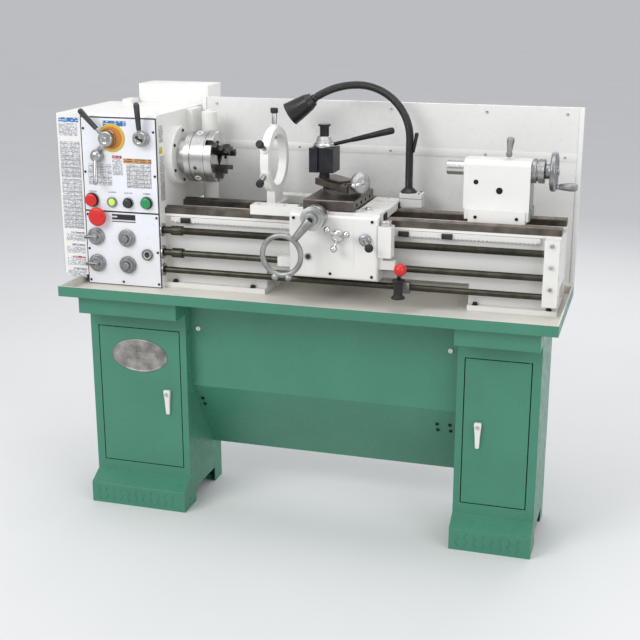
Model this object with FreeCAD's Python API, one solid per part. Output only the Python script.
import FreeCAD, Part
import math
import os

os.makedirs("parts", exist_ok=True)

# Engine lathe on a two-cabinet stand. Millimetres, +X along the bed towards the tailstock,
# +Y to the back, +Z up. The origin is the bottom centre of the whole machine's box.

# ---------------------------------------------------------------- driving dimensions
machine_length = 1598.0     # gear cover's left face to the end of the tail crank
machine_depth = 640.0       # front of the pan to the back of the electrical box
clear = 0.3                 # between moving neighbours
running = 0.06              # radial clearance of a shaft in its bore
sheet = 2.0                 # sheet steel of the stand

# pan and stand
pan_length = 1530.0
pan_depth = 460.0
pan_rim_z = 740.0
pan_lip = 31.7
pan_floor_depth = 25.5      # rim down to the pan's floor
pan_wall = 6.0
pan_end_gap = 7.0           # tail crank's end past the pan
cabinet_depth = 273.0
cabinet_setback = 103.6     # pan front to cabinet front
left_cabinet_inset = 51.0   # pan's left end to the left cabinet
left_cabinet_width = 327.0
right_cabinet_inset = 49.0
right_cabinet_width = 245.0
spacer_height = 62.0        # box between a cabinet and the pan
spacer_overhang = 72.0      # spacer's front ahead of the cabinet's
toe_height = 98.0
toe_front_height = 68.5
toe_overhang = 52.0
toe_depth = 92.0
foot_length = 60.0
foot_height = 50.0
anchor_hole_r = 6.5
door_margin_hinge = 29.0
door_margin_latch = 24.0
door_bottom_gap = 34.0
door_top_gap = 56.0
door_gap = 3.0
door_flange = 14.0
hinge_pin_r = 3.0
hinge_pin_inset = 5.0
latch_length = 88.0
latch_width = 25.0
latch_z = 355.0
chute_setback = 143.6       # pan front to the chute's face
chute_crease_z = 406.5
chute_end_z = 150.0
chute_slope_run = 171.0

# bed and ways
bed_front_gap = 288.6       # pan front to the middle of the bed
bed_width = 187.0
bed_height = 252.1          # pan floor to the top of the ways
bed_end_gap = 23.0          # bed's right end to the pan's right end
shear_width = 40.0
way_depth = 26.0
shear_wall = 18.0
vee_height = 6.0
vee_half = 9.0
vee_offset = 75.0
arch_height = 76.0
left_foot_length = 333.0
right_foot_length = 262.0
foot_flange = 15.0
foot_thickness = 16.0
rib_thickness = 14.0
rib_count = 5
rack_height = 18.0
rack_depth = 10.0
rack_drop = 27.0
rack_pitch = 12.0

# headstock
gear_cover_width = 88.0
head_width = 255.0
head_height = 540.5
head_front = 136.0          # middle of the bed to the head's front face
head_back = 234.0
head_wall = 14.0
gearbox_back = 82.0
gearbox_top = 20.0          # below the way tops
panel_thickness = 4.0
cover_wall = 3.0
swing_radius = 152.4        # ways to the spindle's axis
bearing_r = 45.0
bearing_width = 24.0
spindle_r = 28.0
spindle_bore_r = 19.0
flange_r = 90.0
flange_thickness = 28.0
nose_r = 55.0
nose_length = 30.0
chuck_r = 80.0
chuck_length = 93.0
chuck_bore_r = 21.0
jaw_width = 18.0
jaw_length = 44.0
jaw_reach = 42.0            # how far a jaw stands out of the chuck's face
jaw_rest_r = 24.0
motor_r = 70.0
motor_length = 210.0
motor_pulley_r = 40.0
spindle_pulley_r = 60.0
pulley_width = 26.0
pulley_gap = 16.0           # head's left face to the pulleys
belt_thickness = 5.0
box_width = 249.0
box_inset = 29.0
box_top = 62.0              # above the head
box_height = 317.0

# rods
rod_front = 118.0           # middle of the bed to the rods' axes
leadscrew_r = 11.0
feed_rod_r = 10.0
control_rod_r = 9.5
leadscrew_drop = 65.6       # below the way tops
feed_rod_drop = 136.6
control_rod_drop = 192.6
collar_r = 15.0
collar_length = 36.0
bracket_width = 43.0
bracket_depth = 40.0
bracket_foot_drop = 218.6
bracket_top_drop = 22.6

# carriage
saddle_left = -163.0
saddle_length = 415.0
saddle_front = 120.0        # middle of the bed to the saddle's front edge
saddle_back = 120.0
wing_width = 50.0
wing_height = 29.0
bridge_left = -13.0
bridge_length = 190.0
bridge_height = 33.0
apron_left = -23.0
apron_length = 273.0
apron_front = 170.0
apron_back = 105.0
apron_bottom_drop = 170.6
cross_slide_width = 155.0
cross_slide_height = 30.0
cross_slide_front = 155.0
cross_slide_back = 80.0
compound_base_r = 58.0
compound_base_height = 12.0
compound_width = 84.0
compound_length = 190.0
compound_height = 20.0
compound_angle = -45.0
post_size = 76.0
post_height = 74.0
post_stem_r = 16.0
post_stem_height = 21.0
post_cone_height = 33.0
post_cap_height = 36.0
crank_dial_r = 36.0
crank_ring_r = 59.0
crank_tube_r = 8.0
lamp_tube_r = 12.5
lamp_bend_r = 162.0
lamp_head_bend_r = 235.0
lamp_straight = 165.0
lamp_head_turn = 33.0
lamp_shade_r = 37.5
lamp_shade_length = 100.0

# tailstock and steady rest
tail_body_length = 193.0
tail_base_length = 166.0
tail_body_width = 100.0
tail_height_above_axis = 31.0
quill_r = 21.0
quill_out = 57.0
tail_wheel_r = 57.5
tail_wheel_width = 30.0
tail_handle_length = 61.0
tail_handle_r = 12.5
steady_x = -123.0
steady_thickness = 26.0
steady_outer_r = 100.0
steady_inner_r = 78.0
finger_r = 8.0
finger_tip_r = 62.0

# ---------------------------------------------------------------- worked-out places
left_end = -machine_length / 2
right_end = machine_length / 2
pan_right = right_end - pan_end_gap
pan_left = pan_right - pan_length
pan_front = -machine_depth / 2
pan_back = pan_front + pan_depth
pan_bottom_z = pan_rim_z - pan_lip
pan_floor_z = pan_rim_z - pan_floor_depth
pan_under_z = pan_floor_z - 2.5
stand_front = pan_front + cabinet_setback
stand_back = stand_front + cabinet_depth
cabinet_top_z = pan_under_z - spacer_height
bed_y = pan_front + bed_front_gap
way_z = pan_floor_z + bed_height
head_left = left_end + gear_cover_width
head_right = head_left + head_width
head_y0 = bed_y - head_front
head_y1 = bed_y + head_back
head_top_z = pan_floor_z + head_height
bed_right = pan_right - bed_end_gap
bed_y0 = bed_y - bed_width / 2
bed_y1 = bed_y + bed_width / 2
axis_z = way_z + swing_radius
rod_y = bed_y - rod_front
leadscrew_z = way_z - leadscrew_drop
feed_rod_z = way_z - feed_rod_drop
control_rod_z = way_z - control_rod_drop
bracket_left = bed_right - bracket_width
rod_x0 = head_right - head_wall - 12.0      # the rods' left ends, inside the gearbox
apron_y0 = bed_y - apron_front
apron_y1 = bed_y - apron_back
apron_z0 = way_z - apron_bottom_drop
saddle_right = saddle_left + saddle_length
saddle_z0 = way_z + clear
wing_top_z = way_z + wing_height
bridge_top_z = way_z + bridge_height
apron_top_z = wing_top_z - 8.0
apron_right = apron_left + apron_length
panel_y = head_y0 + panel_thickness

X = FreeCAD.Vector(1, 0, 0)
Y = FreeCAD.Vector(0, 1, 0)
Z = FreeCAD.Vector(0, 0, 1)


def at(x, y, z):
    return FreeCAD.Vector(x, y, z)


def block(x0, x1, y0, y1, z0, z1):
    """A box between two corners."""
    return Part.makeBox(x1 - x0, y1 - y0, z1 - z0, at(x0, y0, z0))


def rod(radius, start, end):
    """A round bar from one point to another."""
    run = end - start
    return Part.makeCylinder(radius, run.Length, start, run)


def tube(outer, inner, start, end):
    """A round bar with a hole right through it."""
    return rod(outer, start, end).cut(rod(inner, start, end))


def taper(r0, r1, start, end):
    """A bar whose radius changes evenly from one point to another."""
    run = end - start
    return Part.makeCone(r0, r1, run.Length, start, run)


def ball(radius, centre):
    return Part.makeSphere(radius, centre)


def prism(points, run):
    """A polygon pushed along a vector."""
    return Part.Face(Part.makePolygon(points + points[:1])).extrude(run)


def side_prism(x0, x1, yz):
    """A (y, z) outline pushed from x0 to x1."""
    return prism([at(x0, y, z) for y, z in yz], at(x1 - x0, 0, 0))


def fuse(shapes):
    """One solid made of pieces that touch or overlap."""
    return shapes[0].multiFuse(shapes[1:]).removeSplitter()


def cut(shape, tools):
    return shape.cut(tools)


def turned(points, arcs, base, direction):
    """A solid of revolution: (radius, height) points in order, with an arc where a midpoint is given."""
    edges = []
    for i, start in enumerate(points):
        end = points[(i + 1) % len(points)]
        a, b = at(start[0], 0, start[1]), at(end[0], 0, end[1])
        if i in arcs:
            edges.append(Part.Arc(a, at(arcs[i][0], 0, arcs[i][1]), b).toShape())
        else:
            edges.append(Part.LineSegment(a, b).toShape())
    solid = Part.Face(Part.Wire(edges)).revolve(at(0, 0, 0), Z, 360)
    solid.Placement = FreeCAD.Placement(base, FreeCAD.Rotation(Z, direction))
    return solid


nodes = {}


def save(node, shapes):
    """Add solids to a named node; pieces bolted to it may be added later."""
    nodes.setdefault(node, []).extend(solid for shape in shapes for solid in shape.Solids)


def hollow(x0, x1, y0, y1, z0, z1, wall):
    """A closed sheet box."""
    inner = block(x0 + wall, x1 - wall, y0 + wall, y1 - wall, z0 + wall, z1 - wall)
    return block(x0, x1, y0, y1, z0, z1).cut(inner)


# ---------------------------------------------------------------- stand
def cabinet(x0, x1, door_x0, door_x1, pin_x):
    """A welded sheet cabinet: every panel is a flat sheet that meets its neighbours edge to edge."""
    shelf_z = toe_height
    front_in = stand_front + sheet
    back_in = stand_back - sheet
    toe_y = stand_front - toe_overhang
    toe_back = toe_y + toe_depth
    top = cabinet_top_z
    door_z0 = toe_height + door_bottom_gap
    door_z1 = top - door_top_gap
    panels = []
    for side_x in (x0, x1 - sheet):
        side = (side_x, side_x + sheet)
        panels.append(block(*side, front_in, back_in, foot_height, top - sheet))
        panels.append(block(*side, toe_back, toe_back + sheet, sheet, foot_height))
        panels.append(block(*side, back_in - foot_length, back_in, sheet, foot_height))
        outline = [(toe_y + sheet, sheet), (toe_y + sheet, toe_front_height - sheet),
                   (stand_front, toe_height - sheet * 1.5), (front_in, toe_height - sheet * 1.5),
                   (front_in, foot_height), (toe_back, foot_height), (toe_back, sheet)]
        panels.append(side_prism(*side, outline))
    inside = (x0 + sheet, x1 - sheet)
    panels.append(block(x0, x1, back_in, stand_back, foot_height, top - sheet))
    panels.append(block(x0, x0 + foot_length, back_in, stand_back, sheet, foot_height))
    panels.append(block(x1 - foot_length, x1, back_in, stand_back, sheet, foot_height))
    panels.append(block(x0, x1, stand_front, stand_back, top - sheet, top))
    panels.append(block(*inside, front_in, back_in, shelf_z, shelf_z + sheet))
    panels.append(block(x0, door_x0, stand_front, front_in, shelf_z, top - sheet))
    panels.append(block(door_x1, x1, stand_front, front_in, shelf_z, top - sheet))
    panels.append(block(door_x0, door_x1, stand_front, front_in, door_z1, top - sheet))
    panels.append(block(door_x0, door_x1, stand_front, front_in, shelf_z, door_z0))
    panels.append(block(x0, x1, toe_y, toe_y + sheet, sheet, toe_front_height - sheet))
    slope = [(toe_y, toe_front_height - sheet), (toe_y, toe_front_height), (stand_front, toe_height),
             (front_in, toe_height), (front_in, toe_height - sheet * 1.5),
             (stand_front, toe_height - sheet * 1.5), (toe_y + sheet, toe_front_height - sheet)]
    panels.append(side_prism(x0, x1, slope))
    base_holes = []
    for hole_x in (x0 + foot_length / 2, x1 - foot_length / 2):
        for hole_y in (toe_y + toe_depth / 2, back_in - foot_length / 2):
            base_holes.append(rod(anchor_hole_r, at(hole_x, hole_y, -1), at(hole_x, hole_y, sheet + 1)))
    panels.append(cut(block(x0, x1, toe_y, toe_back + sheet, 0, sheet), base_holes))
    panels.append(cut(block(x0, x1, back_in - foot_length, stand_back, 0, sheet), base_holes))
    pin_y = stand_front + hinge_pin_inset
    for z0, z1, ear in ((door_z0 - 8, door_z0 + 8, 0), (door_z1 - 8, door_z1 + 8, 1)):
        ear_z0 = z1 - 3 if ear else z0
        pin_z0 = z0 if ear else z0 + 3
        panels.append(rod(hinge_pin_r, at(pin_x, pin_y, pin_z0), at(pin_x, pin_y, pin_z0 + 13)))
        panels.append(block(pin_x - 12, pin_x + 12, front_in, front_in + 14, ear_z0, ear_z0 + 3))
    spacer_front = stand_front - spacer_overhang
    spacer = hollow(x0, x1, spacer_front, pan_back - pan_wall, top, pan_under_z, sheet)
    panels.append(spacer)
    return panels


def door(x0, x1, hinge_side):
    """A flat door with turned edges, hung on two pins inside its hinge edge."""
    z0 = toe_height + door_bottom_gap + door_gap
    z1 = cabinet_top_z - door_top_gap - door_gap
    y0 = stand_front
    skin = block(x0, x1, y0, y0 + sheet, z0, z1)
    pin_x = x0 + hinge_pin_inset if hinge_side == "left" else x1 - hinge_pin_inset
    pin_y = y0 + hinge_pin_inset
    flanges = [block(x0, x1, y0 + sheet, y0 + door_flange, z0, z0 + sheet),
               block(x0, x1, y0 + sheet, y0 + door_flange, z1 - sheet, z1)]
    free_x = x1 - sheet if hinge_side == "left" else x0
    flanges.append(block(free_x, free_x + sheet, y0 + sheet, y0 + door_flange, z0 + sheet, z1 - sheet))
    pin = rod(hinge_pin_r + running, at(pin_x, pin_y, z0 - 1), at(pin_x, pin_y, z1 + 1))
    latch_x = x1 - 44 if hinge_side == "left" else x0 + 44
    hole = rod(6 + running, at(latch_x, y0 - 1, latch_z), at(latch_x, y0 + 20, latch_z))
    return cut(fuse([skin] + flanges), [pin, hole]), latch_x


def latch(latch_x):
    """A drop-shaped handle on a quarter-turn shaft with a small cam behind the door."""
    y0 = stand_front - clear
    half = latch_length / 2
    head_z = latch_z + half - 14
    grip = fuse([rod(latch_width / 2, at(latch_x, y0 - 14, head_z), at(latch_x, y0, head_z)),
                 block(latch_x - 9, latch_x + 9, y0 - 14, y0, latch_z - half + 12, latch_z + half - 14),
                 rod(9, at(latch_x, y0 - 14, latch_z - half + 12), at(latch_x, y0, latch_z - half + 12))])
    shaft = rod(6, at(latch_x, y0, latch_z), at(latch_x, y0 + 26, latch_z))
    cam = block(latch_x - 7, latch_x + 7, y0 + 20, y0 + 24, latch_z - 7, latch_z + 26)
    return fuse([grip, shaft, cam])


left_x0 = pan_left + left_cabinet_inset
left_x1 = left_x0 + left_cabinet_width
right_x1 = pan_right - right_cabinet_inset
right_x0 = right_x1 - right_cabinet_width


def make_stand():
    door_l0 = left_x0 + door_margin_hinge - door_gap
    door_l1 = left_x1 - door_margin_latch + door_gap
    door_r0 = right_x0 + door_margin_latch - door_gap
    door_r1 = right_x1 - door_margin_hinge + door_gap
    left_door_x0 = door_l0 + door_gap
    right_door_x1 = door_r1 - door_gap
    save("left_cabinet", cabinet(left_x0, left_x1, door_l0, door_l1, left_door_x0 + hinge_pin_inset))
    save("right_cabinet", cabinet(right_x0, right_x1, door_r0, door_r1, right_door_x1 - hinge_pin_inset))
    left_door, left_latch_x = door(left_door_x0, door_l1 - door_gap, "left")
    right_door, right_latch_x = door(door_r0 + door_gap, right_door_x1, "right")
    save("left_door", [left_door])
    save("right_door", [right_door])
    save("left_latch", [latch(left_latch_x)])
    save("right_latch", [latch(right_latch_x)])
    chute_y = pan_front + chute_setback
    end_y = chute_y + chute_slope_run
    drop = chute_crease_z - chute_end_z
    length = math.hypot(chute_slope_run, drop)
    off_y = sheet * drop / length
    off_z = sheet * chute_slope_run / length
    turn = sheet * math.tan(math.atan2(chute_slope_run, drop) / 2)
    crease = (chute_y + sheet, chute_crease_z + turn)
    upper = side_prism(left_x1, right_x0, [(chute_y, chute_crease_z), (chute_y, pan_under_z),
                                           (chute_y + sheet, pan_under_z), crease])
    lower = side_prism(left_x1, right_x0, [(chute_y, chute_crease_z), crease,
                                           (end_y + off_y, chute_end_z + off_z), (end_y, chute_end_z)])
    save("chute_panel", [upper, lower])


def make_pan():
    floor = block(pan_left + pan_wall, pan_right - pan_wall, pan_front + pan_wall, pan_back - pan_wall,
                  pan_under_z, pan_floor_z)
    walls = [block(pan_left, pan_right, pan_front, pan_front + pan_wall, pan_bottom_z, pan_rim_z),
             block(pan_left, pan_right, pan_back - pan_wall, pan_back, pan_bottom_z, pan_rim_z),
             block(pan_left, pan_left + pan_wall, pan_front + pan_wall, pan_back - pan_wall,
                   pan_bottom_z, pan_rim_z),
             block(pan_right - pan_wall, pan_right, pan_front + pan_wall, pan_back - pan_wall,
                   pan_bottom_z, pan_rim_z)]
    save("chip_pan", [floor] + walls)


guard_left = head_right + 23.0 + clear
guard_gap = 13.6
guard_y = pan_back + guard_gap
guard_top_z = pan_rim_z + 544.0
guard_sheet = 1.6
guard_return = 12.0


def make_guard():
    """Two sheets, the upper one lapped on the lower, with a turned top and ends."""
    seam_z = pan_rim_z + 394.0
    lower = block(guard_left, pan_right, guard_y, guard_y + guard_sheet, pan_bottom_z, seam_z)
    upper = block(guard_left, pan_right, guard_y, guard_y + guard_sheet, seam_z, guard_top_z)
    back = guard_y + guard_sheet
    ends = [block(end_x, end_x + guard_sheet, back, back + guard_return, pan_bottom_z, guard_top_z)
            for end_x in (guard_left, pan_right - guard_sheet)]
    top = block(guard_left + guard_sheet, pan_right - guard_sheet, back, back + guard_return,
                guard_top_z - guard_sheet, guard_top_z)
    rail = block(guard_left, pan_right, pan_back, guard_y, pan_bottom_z, pan_rim_z + 4)
    save("splash_guard", [lower, upper, rail, top] + ends)


# ---------------------------------------------------------------- bed
def shear(y_out, y_in, vee_y):
    """One side of the bed: a wide way with a raised vee on a thinner wall."""
    y_low, y_high = min(y_out, y_in), max(y_out, y_in)
    way = side_prism(head_right, bed_right, [(y_low, way_z - way_depth), (y_low, way_z),
                                             (vee_y - vee_half, way_z), (vee_y, way_z + vee_height),
                                             (vee_y + vee_half, way_z), (y_high, way_z),
                                             (y_high, way_z - way_depth)])
    wall_out = y_out + (1 if y_in > y_out else -1) * 6.0
    wall_in = wall_out + (1 if y_in > y_out else -1) * shear_wall
    wall = block(head_right, bed_right, min(wall_out, wall_in), max(wall_out, wall_in),
                 pan_floor_z + arch_height, way_z - way_depth)
    return [way, wall]


def make_bed():
    pieces = shear(bed_y0, bed_y0 + shear_width, bed_y - vee_offset)
    pieces += shear(bed_y1, bed_y1 - shear_width, bed_y + vee_offset)
    wall_y0 = bed_y0 + 6.0
    wall_y1 = bed_y1 - 6.0
    arch_z = pan_floor_z + arch_height
    for x0, x1 in ((head_right, head_right + left_foot_length), (bed_right - right_foot_length, bed_right)):
        pieces.append(block(x0, x1, wall_y0, wall_y0 + shear_wall, pan_floor_z, arch_z))
        pieces.append(block(x0, x1, wall_y1 - shear_wall, wall_y1, pan_floor_z, arch_z))
        pieces.append(block(x0, x1, bed_y0 - foot_flange, bed_y1 + foot_flange,
                            pan_floor_z, pan_floor_z + foot_thickness))
    gap = (bed_right - head_right - rib_thickness) / (rib_count - 1)
    for i in range(rib_count):
        x0 = head_right + gap * i
        pieces.append(block(x0, x0 + rib_thickness, wall_y0 + shear_wall, wall_y1 - shear_wall,
                            arch_z, way_z - way_depth - 10))
    pad_x1 = bracket_left + bracket_width
    pieces.append(block(bracket_left, pad_x1, bed_y0, wall_y0, way_z - bracket_foot_drop, way_z - way_depth))
    save("bed", [fuse(pieces)])
    teeth = []
    x = head_right + 30.0
    top = way_z - rack_drop
    low = top - rack_height
    while x + rack_pitch < bracket_left - 20:
        teeth += [(x, low + 4), (x + rack_pitch * 0.3, low), (x + rack_pitch * 0.6, low),
                  (x + rack_pitch * 0.9, low + 4)]
        x += rack_pitch
    outline = [(head_right + 20.0, low + 4)] + teeth
    outline += [(x + 8, low + 4), (x + 8, top), (head_right + 20.0, top)]
    bar = prism([at(px, bed_y0 - rack_depth + 6, pz) for px, pz in outline], at(0, rack_depth, 0))
    save("bed", [bar])


def make_end_bracket():
    x1 = bed_right
    y0 = bed_y0 - bracket_depth
    body = block(bracket_left, x1, y0, bed_y0, way_z - bracket_foot_drop, way_z - bracket_top_drop)
    bores = []
    for z, r in ((leadscrew_z, leadscrew_r), (feed_rod_z, feed_rod_r), (control_rod_z, control_rod_r)):
        bores.append(rod(r + running, at(bracket_left - 1, rod_y, z), at(x1 + 1, rod_y, z)))
    bolts = []
    for z in (way_z - 38, way_z - 100, way_z - 165):
        bolts.append(rod(5, at(bracket_left + 22, y0 - 3, z), at(bracket_left + 22, y0, z)))
    save("end_bracket", [cut(body, bores)])
    save("end_bracket", bolts)


# ---------------------------------------------------------------- headstock
upper_panel = (way_z - 11.6, head_top_z - 12.0)
lower_panel = (pan_floor_z + 3.5, way_z - 16.6)
panel_x = (head_left + 3.0, head_right - 4.0)
lever_places = [("speed_lever_left", -618.0, axis_z + 63), ("speed_lever_lower", -656.0, axis_z + 8),
                ("speed_lever_right", -503.0, axis_z + 67)]
knob_places = [("feed_knob_1", -675.0, way_z - 95.6), ("feed_knob_2", -569.0, way_z - 95.6),
               ("feed_knob_3", -675.0, way_z - 181.6), ("feed_knob_4", -569.0, way_z - 181.6)]
button_places = [("stop_button", -682.0, way_z + 21, 20.0), ("jog_button", -559.0, way_z + 17, 14.0),
                 ("start_button", -496.0, way_z + 20, 17.0)]
lamp_place = (-614.0, way_z + 17, 15.0)
sight_place = (-501.0, way_z - 144.6, 17.0)
e_stop_place = (-659.0, way_z - 29.0, 30.0)
control_shaft_r = 7.0
button_travel = 4.0


def front_bore(x, z, r):
    return rod(r, at(x, head_y0 - 1, z), at(x, head_y0 + panel_thickness + head_wall + 1, z))


def control_bores():
    """Holes through the panels and the casting for every control's shaft."""
    bores = [front_bore(x, z, control_shaft_r + running) for _, x, z in lever_places + knob_places]
    bores += [front_bore(x, z, control_shaft_r + clear) for _, x, z, _ in button_places]
    bores.append(front_bore(e_stop_place[0], e_stop_place[1], control_shaft_r + clear))
    return bores


def make_head():
    bores = control_bores()
    box_z0 = way_z - gearbox_top
    low_y1 = bed_y + gearbox_back
    outer = fuse([block(head_left, head_right, panel_y, low_y1, pan_floor_z, box_z0),
                  block(head_left, head_right, panel_y, head_y1, box_z0, head_top_z)])
    edges = [e for e in outer.Edges if abs(e.tangentAt(e.FirstParameter).x) > 0.9
             and abs(e.CenterOfMass.z - head_top_z) < 0.1]
    outer = outer.makeFillet(9.0, edges)
    inner = fuse([block(head_left + head_wall, head_right - head_wall, panel_y + head_wall,
                        low_y1 - head_wall, pan_floor_z + head_wall, box_z0),
                  block(head_left + head_wall, head_right - head_wall, panel_y + head_wall,
                        head_y1 - head_wall, box_z0 + head_wall, head_top_z - head_wall)])
    boss = rod(flange_r, at(head_right, bed_y, axis_z), at(head_right + flange_thickness, bed_y, axis_z))
    column = block(head_right, head_right + 21, bed_y + 100, head_y1 - 50, way_z - 6, head_top_z - 4)
    casing = fuse([outer, boss])
    spindle_hole = rod(bearing_r + running, at(head_left - 1, bed_y, axis_z),
                       at(head_right + flange_thickness + 1, bed_y, axis_z))
    rods = [rod(r + running, at(rod_x0 - 1, rod_y, z), at(head_right + 1, rod_y, z))
            for z, r in ((leadscrew_z, leadscrew_r), (feed_rod_z, feed_rod_r),
                         (control_rod_z, control_rod_r))]
    save("head_casing", [cut(casing, [inner, spindle_hole] + rods + bores), column])
    upper = block(*panel_x, head_y0, panel_y, *upper_panel)
    lower = block(*panel_x, head_y0, panel_y, *lower_panel)
    save("front_panels", [cut(upper, bores)])
    save("front_panels", [cut(lower, bores)])
    post_x = head_right + 76.0
    post_y = bed_y + chuck_r + 30.0
    arm = block(head_right + 21, post_x, post_y - 8, post_y + 8, way_z + 190, way_z + 215)
    post = rod(25, at(post_x, post_y, way_z), at(post_x, post_y, way_z + 278))
    cap = rod(12, at(post_x, post_y, way_z + 278), at(post_x, post_y, way_z + 284))
    save("head_casing", [fuse([post, cap]).cut(arm), arm])
    bearings = []
    for x0 in (head_left, head_right + flange_thickness - bearing_width - 2):
        ring = tube(bearing_r, spindle_r + running, at(x0, bed_y, axis_z),
                    at(x0 + bearing_width, bed_y, axis_z))
        bearings.append(ring)
    save("spindle_bearings", bearings)


cover_axis_y = head_y1 + 6.0
cover_knuckle_r = 6.0
knuckle_length = 30.0


def make_gear_cover():
    """A deep sheet door over the left end, open towards the casting and hung at the back."""
    z0 = pan_rim_z + 3.0
    x1 = head_left - clear
    outer = block(left_end, x1, head_y0, head_y1, z0, head_top_z)
    edges = [e for e in outer.Edges if abs(e.CenterOfMass.x - left_end) < 0.1
             and (abs(e.CenterOfMass.z - head_top_z) < 0.1 or abs(e.CenterOfMass.y - head_y0) < 0.1)]
    outer = outer.makeFillet(12.0, edges)
    inner = block(left_end + cover_wall, x1 + 1, head_y0 + cover_wall, head_y1 - cover_wall,
                  z0 + cover_wall, head_top_z - cover_wall)
    shell = cut(outer, [inner])
    axis_x = x1 - cover_knuckle_r
    knuckles = []
    pins = []
    for z in (way_z + 35, head_top_z - 60):
        knuckle = tube(cover_knuckle_r, hinge_pin_r + running, at(axis_x, cover_axis_y, z),
                       at(axis_x, cover_axis_y, z + knuckle_length))
        inside = block(x1 - 20, x1 + 20, head_y0, head_y1, z - 1, z + knuckle_length + 1)
        knuckles.append(knuckle.cut(inside))
        tab_z = z - 2 * cover_knuckle_r
        pin_z = z - cover_knuckle_r
        pin = rod(hinge_pin_r, at(axis_x, cover_axis_y, pin_z), at(axis_x, cover_axis_y, z + knuckle_length))
        # The tab under the knuckle stays inside the circle that the opening cover sweeps round.
        tab = block(axis_x - hinge_pin_r, head_left + 20, cover_axis_y - 4, cover_axis_y + 10, tab_z, pin_z)
        foot = block(head_left, head_left + 20, head_y1, cover_axis_y, tab_z, pin_z)
        pins.append(fuse([pin, tab, foot]))
    save("gear_cover", [fuse([shell] + knuckles)])
    save("head_casing", pins)


def make_electrical_box():
    x0 = head_left + box_inset
    x1 = x0 + box_width
    z1 = head_top_z + box_top
    save("electrical_box", [hollow(x0, x1, head_y1, machine_depth / 2, z1 - box_height, z1, sheet)])
    lid = block(x0 - 34, x0, head_y1 - 60, head_y1, head_top_z, head_top_z + 14)
    save("head_casing", [lid])


motor_y = 130.0
motor_z = pan_floor_z + 126.0
belt_x0 = head_left - pulley_gap - pulley_width
belt_x1 = belt_x0 + pulley_width


def pulley(radius, bore, y, z):
    """A flat-belt wheel with two rims."""
    rims = [rod(radius + 4, at(belt_x0, y, z), at(belt_x0 + 3, y, z)),
            rod(radius + 4, at(belt_x1 - 3, y, z), at(belt_x1, y, z)),
            rod(radius, at(belt_x0, y, z), at(belt_x1, y, z))]
    wheel = fuse(rims)
    return wheel.cut(rod(bore, at(belt_x0 - 1, y, z), at(belt_x1 + 1, y, z))) if bore else wheel


def belt_outline(extra):
    """Outer tangent line round both pulleys, as a face at the belt's left edge."""
    centres = [(bed_y, axis_z, spindle_pulley_r + extra), (motor_y, motor_z, motor_pulley_r + extra)]
    (y0, z0, r0), (y1, z1, r1) = centres
    run = math.hypot(y1 - y0, z1 - z0)
    base = math.atan2(z1 - z0, y1 - y0)
    swing = math.acos((r0 - r1) / run)
    sides = []
    for sign in (1, -1):
        turn = base + sign * swing
        sides.append(((y0 + r0 * math.cos(turn), z0 + r0 * math.sin(turn)),
                      (y1 + r1 * math.cos(turn), z1 + r1 * math.sin(turn))))
    x = belt_x0 + 3.0 + clear
    away0 = at(x, y0 - r0 * math.cos(base), z0 - r0 * math.sin(base))
    away1 = at(x, y1 + r1 * math.cos(base), z1 + r1 * math.sin(base))
    p = [[at(x, *point) for point in side] for side in sides]
    edges = [Part.Arc(p[0][0], away0, p[1][0]).toShape(), Part.LineSegment(p[1][0], p[1][1]).toShape(),
             Part.Arc(p[1][1], away1, p[0][1]).toShape(), Part.LineSegment(p[0][1], p[0][0]).toShape()]
    return Part.Face(Part.Wire(edges))


def make_drive():
    axis_left = belt_x0 - 8.0
    nose_x = head_right + flange_thickness + clear
    shaft = rod(spindle_r, at(axis_left, bed_y, axis_z), at(nose_x, bed_y, axis_z))
    nose = rod(nose_r, at(nose_x, bed_y, axis_z), at(nose_x + nose_length, bed_y, axis_z))
    bore = rod(spindle_bore_r, at(axis_left - 1, bed_y, axis_z), at(nose_x + nose_length + 1, bed_y, axis_z))
    save("spindle", [cut(fuse([shaft, nose]), [bore])])
    save("spindle", [pulley(spindle_pulley_r, spindle_r, bed_y, axis_z)])
    depth = pulley_width - 6.0 - 2 * clear
    band = belt_outline(clear + belt_thickness).extrude(at(depth, 0, 0))
    save("motor", [band.cut(belt_outline(clear).extrude(at(depth, 0, 0)))])
    motor_x0 = head_left + 20.0
    shaft_r = 12.0
    body = rod(motor_r, at(motor_x0, motor_y, motor_z), at(motor_x0 + motor_length, motor_y, motor_z))
    plate_y0 = bed_y + gearbox_back
    plate = block(motor_x0 + 20, motor_x0 + motor_length - 30, plate_y0, motor_y - motor_r + 8,
                  motor_z - 60, motor_z + 60)
    hole = rod(shaft_r + running, at(motor_x0 - 1, motor_y, motor_z), at(motor_x0 + 60, motor_y, motor_z))
    save("motor", [cut(fuse([body, plate]), [hole])])
    rotor = rod(shaft_r, at(belt_x0 - 4, motor_y, motor_z), at(motor_x0 + 58, motor_y, motor_z))
    save("motor_pulley", [fuse([pulley(motor_pulley_r, 0, motor_y, motor_z), rotor])])


def spin(shape, degrees):
    """A copy turned about the spindle's axis."""
    turned = shape.copy()
    turned.rotate(at(0, bed_y, axis_z), X, degrees)
    return turned


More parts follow.
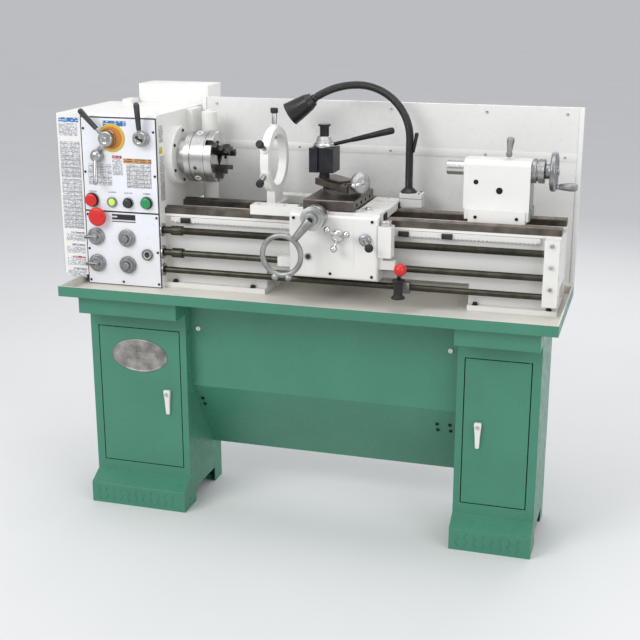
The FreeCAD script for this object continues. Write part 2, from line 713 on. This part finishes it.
def make_chuck():
    x0 = head_right + flange_thickness + clear + nose_length
    x1 = x0 + chuck_length
    body = rod(chuck_r, at(x0, bed_y, axis_z), at(x1, bed_y, axis_z))
    body = body.makeFillet(3.0, [e for e in body.Edges if len(e.Vertexes) == 1])
    tools = [rod(chuck_bore_r, at(x0 - 1, bed_y, axis_z), at(x1 + 1, bed_y, axis_z))]
    slot_depth = 22.0
    y0, y1 = bed_y - jaw_width / 2, bed_y + jaw_width / 2
    slot = block(x1 - slot_depth, x1 + 1, y0 - clear, y1 + clear, axis_z, axis_z + chuck_r + 1)
    jaw_z0 = axis_z + jaw_rest_r
    base = block(x1 - slot_depth + clear, x1 + 12, y0, y1, jaw_z0, jaw_z0 + jaw_length)
    steps = [block(x1 + 12, x1 + jaw_reach, y0, y1, jaw_z0, jaw_z0 + 14),
             block(x1 + 12, x1 + 26, y0, y1, jaw_z0 + 14, jaw_z0 + 28)]
    jaw = fuse([base] + steps)
    key_turn = -40.0
    key = rod(6, at(x0 + 40, bed_y, axis_z + chuck_r - 16), at(x0 + 40, bed_y, axis_z + chuck_r + 1))
    for i in range(3):
        tools.append(spin(slot, 120 * i + 90 + key_turn))
        tools.append(spin(key, 120 * i + 30 + key_turn))
        save("chuck_jaw_" + str(i + 1), [spin(jaw, 120 * i + 90 + key_turn)])
    save("chuck_body", [cut(body, tools)])


def speed_lever(x, z, hub_r, tip, thickness):
    """A hub on a shaft with a tapered handle that stands off the panel."""
    y0 = head_y0 - clear
    y1 = y0 - 26.0
    hub = fuse([rod(hub_r, at(x, y1, z), at(x, y0, z)),
                rod(control_shaft_r, at(x, y0, z), at(x, head_y0 + panel_thickness + head_wall + 4, z))])
    tip_at = at(tip[0], y1 - 10, tip[1])
    start = at(x, y1 + 8, z)
    grip_start = start + (tip_at - start) * 0.38
    handle = fuse([rod(thickness * 0.7, start, grip_start),
                   taper(thickness * 0.8, thickness, grip_start, tip_at), ball(thickness, tip_at)])
    return fuse([hub, handle])


def make_controls():
    tips = {"speed_lever_left": (-688.0, axis_z + 147), "speed_lever_lower": (-652.0, axis_z - 78),
            "speed_lever_right": (-501.0, axis_z + 171)}
    radii = {"speed_lever_left": 27.0, "speed_lever_lower": 21.0, "speed_lever_right": 26.0}
    for node, x, z in lever_places:
        save(node, [speed_lever(x, z, radii[node], tips[node], 9.0)])
    y0 = head_y0 - clear
    for i, (node, x, z) in enumerate(knob_places):
        pieces = [rod(28, at(x, y0 - 9, z), at(x, y0, z)), rod(22, at(x, y0 - 18, z), at(x, y0 - 9, z)),
                  rod(control_shaft_r, at(x, y0, z), at(x, head_y0 + panel_thickness + head_wall + 4, z))]
        if i % 2 == 0:
            pieces.append(block(x - 30, x + 14, y0 - 30, y0 - 18, z - 6, z + 6))
        else:
            pieces.append(rod(12, at(x, y0 - 24, z), at(x, y0 - 18, z)))
        save(node, [fuse(pieces)])
    for node, x, z, r in button_places:
        gap = button_travel + 1.0
        cap = rod(r, at(x, head_y0 - gap - 12, z), at(x, head_y0 - gap, z))
        stem = rod(control_shaft_r, at(x, head_y0 - gap, z), at(x, head_y0 + panel_thickness + head_wall, z))
        save(node, [fuse([cap, stem])])
    x, z, r = e_stop_place
    gap = button_travel + 1.0
    cap = taper(r * 0.6, r, at(x, head_y0 - gap - 8, z), at(x, head_y0 - gap - 14, z))
    dome = rod(r, at(x, head_y0 - gap - 24, z), at(x, head_y0 - gap - 14, z))
    stem = rod(control_shaft_r, at(x, head_y0 - gap - 8, z), at(x, head_y0 + panel_thickness + head_wall, z))
    save("e_stop", [fuse([cap, dome, stem])])
    lenses = []
    for lx, lz, lr in (lamp_place, sight_place):
        lenses.append(rod(lr, at(lx, head_y0 - 6, lz), at(lx, head_y0, lz)))
    save("front_panels", lenses)


# ---------------------------------------------------------------- rods
def make_rods():
    x1 = bed_right - 6.0
    collar_x = head_right + 33.0
    specs = [("leadscrew", leadscrew_z, leadscrew_r, True), ("feed_rod", feed_rod_z, feed_rod_r, True),
             ("control_rod", control_rod_z, control_rod_r, False)]
    for node, z, r, with_collar in specs:
        bar = rod(r, at(rod_x0, rod_y, z), at(x1, rod_y, z))
        if with_collar:
            bar = fuse([bar, rod(collar_r, at(collar_x, rod_y, z), at(collar_x + collar_length, rod_y, z))])
        save(node, [bar])


# ---------------------------------------------------------------- carriage
def rod_passages(x0, x1):
    return [rod(r + clear, at(x0 - 1, rod_y, z), at(x1 + 1, rod_y, z))
            for z, r in ((leadscrew_z, leadscrew_r), (feed_rod_z, feed_rod_r))]


def vee_groove(y):
    """The groove that clears a raised vee all round."""
    half = vee_half + clear * 2
    return side_prism(saddle_left - 1, saddle_right + 1,
                      [(y - half, saddle_z0 - 1), (y - half, saddle_z0), (y, way_z + vee_height + clear * 2),
                       (y + half, saddle_z0), (y + half, saddle_z0 - 1)])


def make_saddle():
    y0 = bed_y - saddle_front
    y1 = bed_y + saddle_back
    front = block(saddle_left, saddle_right, y0, y0 + wing_width, saddle_z0, wing_top_z)
    rear = block(saddle_left, saddle_right, y1 - wing_width, y1, saddle_z0, wing_top_z)
    bridge = block(bridge_left, bridge_left + bridge_length, y0, y1, saddle_z0, bridge_top_z)
    apron_pad = block(apron_left, apron_right, apron_y0 + 20, y0, apron_top_z, wing_top_z)
    web = block(bridge_left + bridge_length, apron_right, y0 + wing_width, y1 - wing_width,
                saddle_z0, wing_top_z - 6)
    body = fuse([front, rear, bridge, apron_pad, web])
    save("saddle", [cut(body, [vee_groove(bed_y - vee_offset), vee_groove(bed_y + vee_offset)])])
    apron = block(apron_left, apron_right, apron_y0, apron_y1, apron_z0, apron_top_z)
    edges = [e for e in apron.Edges if abs(e.CenterOfMass.y - apron_y0) < 0.1 and e.Length > 100]
    apron = apron.makeFillet(8.0, edges)
    relief = block(apron_left - 1, apron_right + 1, y0, apron_y1 + 1, saddle_z0, apron_top_z + 1)
    crank_bore = rod(8 + running, at(crank_axis[0], apron_y0 - 1, crank_axis[1]),
                     at(crank_axis[0], apron_y0 + 30, crank_axis[1]))
    save("apron", [cut(apron, rod_passages(apron_left, apron_right) + [relief, crank_bore]
                       + [rod(control_shaft_r + running, at(x, apron_y0 - 1, z), at(x, apron_y0 + 32, z))
                          for x, z in (carriage_hub, half_nut_hub)])])
    box_x0 = apron_left - 49.0
    housing = block(box_x0, apron_left, rod_y - 16, rod_y + 16, feed_rod_z - 15, feed_rod_z + 14)
    save("apron", [cut(housing, rod_passages(box_x0, apron_left))])


carriage_hub = (131.0, way_z - 38.0)
half_nut_hub = (212.0, way_z - 45.6)
crank_axis = (65.0, way_z + 18.4)


def make_carriage_controls():
    y0 = apron_y0 - clear
    x, z = carriage_hub
    pieces = [rod(20, at(x, y0 - 22, z), at(x, y0, z)),
              rod(control_shaft_r, at(x, y0, z), at(x, apron_y0 + 30, z))]
    for degrees, length in ((20, 34), (140, 34), (260, 34)):
        tip_x = x + length * math.cos(math.radians(degrees))
        tip_z = z + length * math.sin(math.radians(degrees))
        pieces.append(rod(5, at(x, y0 - 14, z), at(tip_x, y0 - 30, tip_z)))
        pieces.append(ball(11, at(tip_x, y0 - 32, tip_z)))
    save("carriage_crank", [fuse(pieces)])
    x, z = half_nut_hub
    arm_end = at(x + 20, y0 - 32, z - 16)
    pieces = [rod(18, at(x, y0 - 13, z), at(x, y0, z)),
              rod(control_shaft_r, at(x, y0, z), at(x, apron_y0 + 30, z)),
              rod(8, at(x, y0 - 8, z), arm_end), rod(13, arm_end - Y * 14, arm_end + Y * 6)]
    save("half_nut_lever", [fuse(pieces)])
    casting = block(apron_right, apron_right + 40, rod_y - 56, rod_y - leadscrew_r - 2,
                    way_z - 96, way_z - 4)
    arm = block(apron_right, apron_right + 48, rod_y - 40, rod_y - 22, feed_rod_z + 2, feed_rod_z + 30)
    lip = block(apron_right, apron_right + 12, rod_y - 40, rod_y - 22, feed_rod_z + 30, way_z - 96)
    dial_axis = (apron_right + 20, rod_y - 34)
    bore = rod(6 + running, at(*dial_axis, way_z - 40), at(*dial_axis, way_z))
    save("apron", [cut(fuse([casting, lip, arm]), [bore])])
    dial = fuse([rod(17, at(*dial_axis, way_z - 4 + clear), at(*dial_axis, way_z + 12)),
                 rod(6, at(*dial_axis, way_z - 38), at(*dial_axis, way_z - 4 + clear))])
    save("thread_dial", [dial])
    grip_x = apron_right + 68.0
    hub = tube(19, control_rod_r + running, at(apron_right + 50, rod_y, control_rod_z),
               at(apron_right + 88, rod_y, control_rod_z))
    bar = block(grip_x - 9, grip_x + 9, rod_y - 84, rod_y - 17, control_rod_z + 4, control_rod_z + 18)
    grip_y = rod_y - 76.0
    flare = taper(21, 13, at(grip_x, grip_y, control_rod_z - 16), at(grip_x, grip_y, control_rod_z - 8))
    neck = rod(13, at(grip_x, grip_y, control_rod_z - 8), at(grip_x, grip_y, control_rod_z + 30))
    flare_top = taper(13, 20, at(grip_x, grip_y, control_rod_z + 30), at(grip_x, grip_y, control_rod_z + 40))
    stem = rod(6, at(grip_x, grip_y, control_rod_z + 40), at(grip_x + 8, grip_y - 12, control_rod_z + 66))
    knob = ball(19, at(grip_x + 8, grip_y - 12, control_rod_z + 73))
    save("control_lever", [cut(fuse([hub, bar]), [rod(13, at(grip_x, grip_y, control_rod_z - 8),
                                                      at(grip_x, grip_y, control_rod_z + 30))])])
    save("control_lever", [fuse([flare, neck, flare_top, stem, knob])])


def make_cross_slide():
    x0 = 17.0
    x1 = x0 + cross_slide_width
    z0 = bridge_top_z + clear
    z1 = z0 + cross_slide_height
    slide = block(x0, x1, bed_y - cross_slide_front, bed_y + cross_slide_back, z0, z1)
    slide = slide.makeFillet(4.0, [e for e in slide.Edges if abs(e.CenterOfMass.z - z1) < 0.1])
    save("cross_slide", [slide])
    cx, cz = crank_axis
    boss_y0 = apron_y0 - 8.0
    boss = rod(30, at(cx, boss_y0, cz), at(cx, bed_y - saddle_front, cz))
    shaft_bore = rod(8 + running, at(cx, boss_y0 - 1, cz), at(cx, boss_y0 + 30, cz))
    trim = block(cx - 40, cx + 40, boss_y0 - 1, bed_y, bridge_top_z, z1 + 50)
    under = block(cx - 40, cx + 40, apron_y0, apron_y1 + 40, apron_z0, wing_top_z)
    save("saddle", [cut(boss, [shaft_bore, trim, under])])
    y0 = boss_y0 - clear
    dial = fuse([rod(crank_dial_r, at(cx, y0 - 46, cz), at(cx, y0, cz)),
                 rod(crank_dial_r - 8, at(cx, y0 - 52, cz), at(cx, y0 - 46, cz)),
                 rod(8, at(cx, y0, cz), at(cx, y0 + 28, cz))])
    ring_x, ring_z = cx - 87.0, cz - 109.0
    ring_y = y0 - 58.0
    ring = Part.makeTorus(crank_ring_r, crank_tube_r, at(ring_x, ring_y, ring_z), Y)
    reach = math.hypot(87.0, 109.0)
    toward = at((ring_x - cx) / reach, 0, (ring_z - cz) / reach)
    arm_end = at(cx, ring_y, cz) + toward * (reach - crank_ring_r)
    arm = taper(15, 11, at(cx, ring_y, cz), arm_end)
    hub = rod(19, at(cx, ring_y - 8, cz), at(cx, y0 - 52, cz))
    lobes = [taper(9, 13, at(ring_x + side * 14, ring_y, ring_z - crank_ring_r),
                   at(ring_x + side * 30, ring_y, ring_z - crank_ring_r - 16)) for side in (-1, 1)]
    save("cross_crank", [fuse([dial, hub, arm, ring] + lobes)])


def make_compound():
    cx, cy = 95.0, bed_y - 8.0
    z0 = bridge_top_z + clear + cross_slide_height + clear
    z1 = z0 + compound_base_height
    save("compound_base", [rod(compound_base_r, at(cx, cy, z0), at(cx, cy, z1))])
    s0 = z1 + clear
    s1 = s0 + compound_height
    half_w = compound_width / 2
    half_l = compound_length / 2
    swing = (at(cx, cy, 0), Z, compound_angle)
    slide = block(cx - half_l, cx + half_l, cy - half_w, cy + half_w, s0, s1)
    pad = block(cx - half_l, cx + half_l - 60, cy - half_w + 12, cy + half_w - 12, s1, s1 + 6)
    plate = block(cx + half_l, cx + half_l + 10, cy - half_w + 6, cy + half_w - 6, s0, s1 + 10)
    slide = fuse([slide, pad, plate])
    slide.rotate(*swing)
    save("compound_slide", [slide])
    dial_z = s1 + 12
    dial_x = cx + half_l + 10 + clear
    crank = fuse([rod(31, at(dial_x, cy, dial_z), at(dial_x + 16, cy, dial_z)),
                  rod(8, at(dial_x + 16, cy, dial_z), at(dial_x + 26, cy, dial_z)),
                  rod(6, at(dial_x + 24, cy, dial_z), at(dial_x + 24, cy - 33, dial_z - 4)),
                  ball(8, at(dial_x + 24, cy - 34, dial_z - 4))])
    crank.rotate(*swing)
    save("compound_crank", [crank])
    px, py = 37.0, bed_y
    stem_top = s1 + 6 + post_stem_height
    stem = rod(post_stem_r, at(px, py, s1 + 6), at(px, py, stem_top))
    half = post_size / 2
    post = block(px - half, px + half, py - half, py + half, stem_top, stem_top + post_height)
    for side_y in (-1, 1):
        post = post.cut(block(px - 12, px + 12, py + side_y * half - 8, py + side_y * half + 8,
                              stem_top - 1, stem_top + post_height + 1))
    post_top = stem_top + post_height
    lever_z = post_top + 8
    pin = rod(10, at(px, py, post_top), at(px, py, post_top + post_cone_height + post_cap_height - 4))
    save("tool_post", [fuse([stem, post, pin])])
    cone = fuse([rod(34, at(px, py, post_top + clear), at(px, py, post_top + 12)),
                 taper(30, 20, at(px, py, post_top + 12), at(px, py, post_top + post_cone_height))])
    collar = rod(10 + running, at(px, py, post_top), at(px, py, post_top + post_cone_height + 1))
    tip = at(px + 217, py, lever_z + 50)
    start = at(px + 26, py, lever_z)
    mid = start + (tip - start) * 0.3
    lever = fuse([rod(6, start, mid), taper(7, 11, mid, tip)])
    save("tool_post_lever", [cut(fuse([cone, lever]), [collar])])
    cap_z = post_top + post_cone_height + clear
    cap = fuse([rod(14, at(px, py, cap_z), at(px, py, cap_z + post_cap_height - 6)),
                rod(19, at(px, py, cap_z + post_cap_height - 6), at(px, py, cap_z + post_cap_height))])
    inner = rod(10, at(px, py, cap_z - 1), at(px, py, post_top + post_cone_height + post_cap_height - 4))
    save("tool_post", [cut(cap, [inner])])


lamp_x, lamp_y = 275.0, bed_y + 121.0


def make_lamp():
    z0 = way_z + 7.4
    z1 = z0 + 41.0
    base = block(saddle_right, saddle_right + 70, lamp_y - 28, lamp_y + 20, z0, z1)
    save("saddle", [base])
    zf = z1 + clear
    heading = at(-328.0, -41.4, 0)
    heading.normalize()
    foot_z = zf + 14.0

    def place(s, z):
        return at(lamp_x, lamp_y, z) + heading * s

    bend_z = z1 + lamp_straight
    top_z = bend_z + lamp_bend_r
    half = math.radians(45)
    turn = math.radians(lamp_head_turn)
    mid_turn = turn / 2
    low = place(0, foot_z)
    start = place(0, bend_z)
    apex = place(lamp_bend_r, top_z)
    on_arc = place(lamp_bend_r * (1 - math.cos(half)), bend_z + lamp_bend_r * math.sin(half))
    on_head_arc = place(lamp_bend_r + lamp_head_bend_r * math.sin(mid_turn),
                        top_z - lamp_head_bend_r * (1 - math.cos(mid_turn)))
    neck = place(lamp_bend_r + lamp_head_bend_r * math.sin(turn),
                 top_z - lamp_head_bend_r * (1 - math.cos(turn)))
    path = Part.Wire([Part.LineSegment(low, start).toShape(), Part.Arc(start, on_arc, apex).toShape(),
                      Part.Arc(apex, on_head_arc, neck).toShape()])
    section = Part.Wire([Part.Circle(low, Z, lamp_tube_r).toShape()])
    stalk = path.makePipeShell([section], True, True)
    flange = taper(26, 16, place(0, zf), place(0, foot_z))
    point = heading * math.cos(turn) - Z * math.sin(turn)
    pivot = 10.0
    knuckle_r = 13.5
    socket_r = knuckle_r + clear
    save("lamp_stalk", [fuse([flange, stalk, ball(knuckle_r, neck + point * pivot)])])
    mouth = lamp_shade_length
    cup_z = 50.0
    floor_z = pivot + socket_r - 0.05
    open_z = pivot + 2.0
    floor_r = math.sqrt(socket_r ** 2 - (floor_z - pivot) ** 2)
    open_r = math.sqrt(socket_r ** 2 - 2.0 ** 2)
    mid = (socket_r * math.cos(math.radians(45)), pivot + socket_r * math.sin(math.radians(45)))
    shade = [(0, floor_z), (floor_r, floor_z), (open_r, open_z), (20, open_z), (26, 30), (27, 30),
             (lamp_shade_r, mouth), (lamp_shade_r - sheet, mouth), (18, cup_z), (0, cup_z)]
    save("lamp_head", [turned(shade, {1: mid}, neck, point)])
    bulb_r = 13.0
    cap_r = 8.0
    bulb_z = cup_z + 12.0
    cap_top = bulb_z - math.sqrt(bulb_r ** 2 - cap_r ** 2)
    bulb = [(0, cup_z), (cap_r, cup_z), (cap_r, cap_top), (0, bulb_z + bulb_r)]
    save("lamp_head", [turned(bulb, {2: (bulb_r, bulb_z)}, neck, point)])


# ---------------------------------------------------------------- tailstock
tail_wheel_x1 = right_end - tail_handle_length
tail_wheel_x0 = tail_wheel_x1 - tail_wheel_width
tail_body_x1 = tail_wheel_x0 - 40.0
tail_body_x0 = tail_body_x1 - tail_body_length


def make_tailstock():
    z_base = way_z + clear
    top = axis_z + tail_height_above_axis
    half = tail_body_width / 2
    body = block(tail_body_x0, tail_body_x1, bed_y - half, bed_y + half, z_base + 41, top)
    top_edges = [e for e in body.Edges if abs(e.CenterOfMass.z - top) < 0.1 and e.Length > 120]
    body = body.makeFillet(16.0, top_edges)
    base = block(tail_body_x0 + 18, tail_body_x0 + 18 + tail_base_length, bed_y - 66, bed_y + 66,
                 z_base, z_base + 41)
    skirt = block(tail_body_x0 + 6, tail_body_x0 + 30 + tail_base_length, bed_y - 60, bed_y + 60,
                  z_base + 12, z_base + 41)
    bore = rod(quill_r + running, at(tail_body_x0 - 1, bed_y, axis_z), at(tail_body_x1 + 1, bed_y, axis_z))
    save("tailstock", [cut(fuse([base, skirt, body]), [bore])])
    tip = tail_body_x0 - quill_out
    screw_r = 9.0
    socket = taper(12.0, 9.5, at(tip - 1, bed_y, axis_z), at(tip + 70, bed_y, axis_z))
    screw_bore = rod(screw_r + clear, at(tip + 90, bed_y, axis_z), at(tail_body_x1, bed_y, axis_z))
    quill = rod(quill_r, at(tip, bed_y, axis_z), at(tail_body_x1 - 20, bed_y, axis_z))
    save("quill", [cut(quill, [socket, screw_bore])])
    cap_x1 = tail_wheel_x0 - 5.0
    cap = tube(35, screw_r + running, at(tail_body_x1, bed_y, axis_z), at(cap_x1, bed_y, axis_z))
    groove = tube(36, 29, at(tail_body_x1 + 12, bed_y, axis_z), at(tail_body_x1 + 18, bed_y, axis_z))
    save("tailstock", [cap.cut(groove)])
    screw = rod(screw_r, at(tail_body_x0 + 60, bed_y, axis_z), at(tail_wheel_x0 + 2, bed_y, axis_z))
    hub = rod(22, at(cap_x1 + clear, bed_y, axis_z), at(tail_wheel_x1, bed_y, axis_z))
    wheel = rod(tail_wheel_r, at(tail_wheel_x0 + 6, bed_y, axis_z), at(tail_wheel_x1, bed_y, axis_z))
    wheel = wheel.makeFillet(5.0, [e for e in wheel.Edges if len(e.Vertexes) == 1])
    dish = taper(tail_wheel_r - 12, tail_wheel_r - 18, at(tail_wheel_x1 + 1, bed_y, axis_z),
                 at(tail_wheel_x1 - 8, bed_y, axis_z))
    handle_z = axis_z - tail_wheel_r + tail_handle_r + 2
    handle = taper(8, tail_handle_r, at(tail_wheel_x1 - 6, bed_y, handle_z), at(right_end, bed_y, handle_z))
    save("tail_handwheel", [fuse([cut(wheel, [dish]), hub, screw, handle])])
    lock_x = tail_body_x0 + 122.0
    pivot_z = top + 10.0 + clear
    lever = fuse([ball(10, at(lock_x, bed_y, pivot_z)),
                  rod(8, at(lock_x, bed_y - 12, pivot_z), at(lock_x, bed_y + 12, pivot_z)),
                  taper(7, 12, at(lock_x, bed_y, pivot_z), at(lock_x + 4, bed_y, pivot_z + 52))])
    save("quill_lever", [lever])


def make_steady():
    x0 = steady_x - steady_thickness / 2
    x1 = x0 + steady_thickness
    base_y0 = bed_y - bed_width / 2 + 29.5
    base_y1 = bed_y + bed_width / 2 - 29.5
    ring = tube(steady_outer_r, steady_inner_r, at(x0, bed_y, axis_z), at(x1, bed_y, axis_z))
    base = block(x0 - 8, x1 + 8, base_y0, base_y1, way_z, way_z + 20)
    neck = block(x0, x1, bed_y - 40, bed_y + 40, way_z + 20, axis_z - steady_inner_r - 5)
    bores = []
    bosses = []
    for degrees in (90, 155, 201):
        dy = math.cos(math.radians(degrees))
        dz = math.sin(math.radians(degrees))
        mid = at(steady_x, bed_y, axis_z)
        inner = mid + at(0, dy, dz) * (steady_inner_r + 4)
        outer = mid + at(0, dy, dz) * (steady_outer_r + 8)
        bosses.append(rod(14, inner, outer))
        bores.append(rod(finger_r + running, mid, outer + at(0, dy, dz) * 2))
        inward = at(0, dy, dz)
        finger = fuse([rod(finger_r, mid + inward * finger_tip_r, outer + inward * 33),
                       rod(12, outer + inward * 33, outer + inward * 50)])
        save("steady_finger_" + str(len(bosses)), [finger])
    save("steady_rest", [cut(fuse([ring, base, neck] + bosses), bores)])


make_stand()
make_pan()
make_guard()
make_bed()
make_end_bracket()
make_head()
make_gear_cover()
make_electrical_box()
make_drive()
make_chuck()
make_controls()
make_rods()
make_saddle()
make_carriage_controls()
make_cross_slide()
make_compound()
make_lamp()
make_tailstock()
make_steady()

for node, solids in nodes.items():
    Part.makeCompound(solids).exportStep("parts/" + node + ".step")
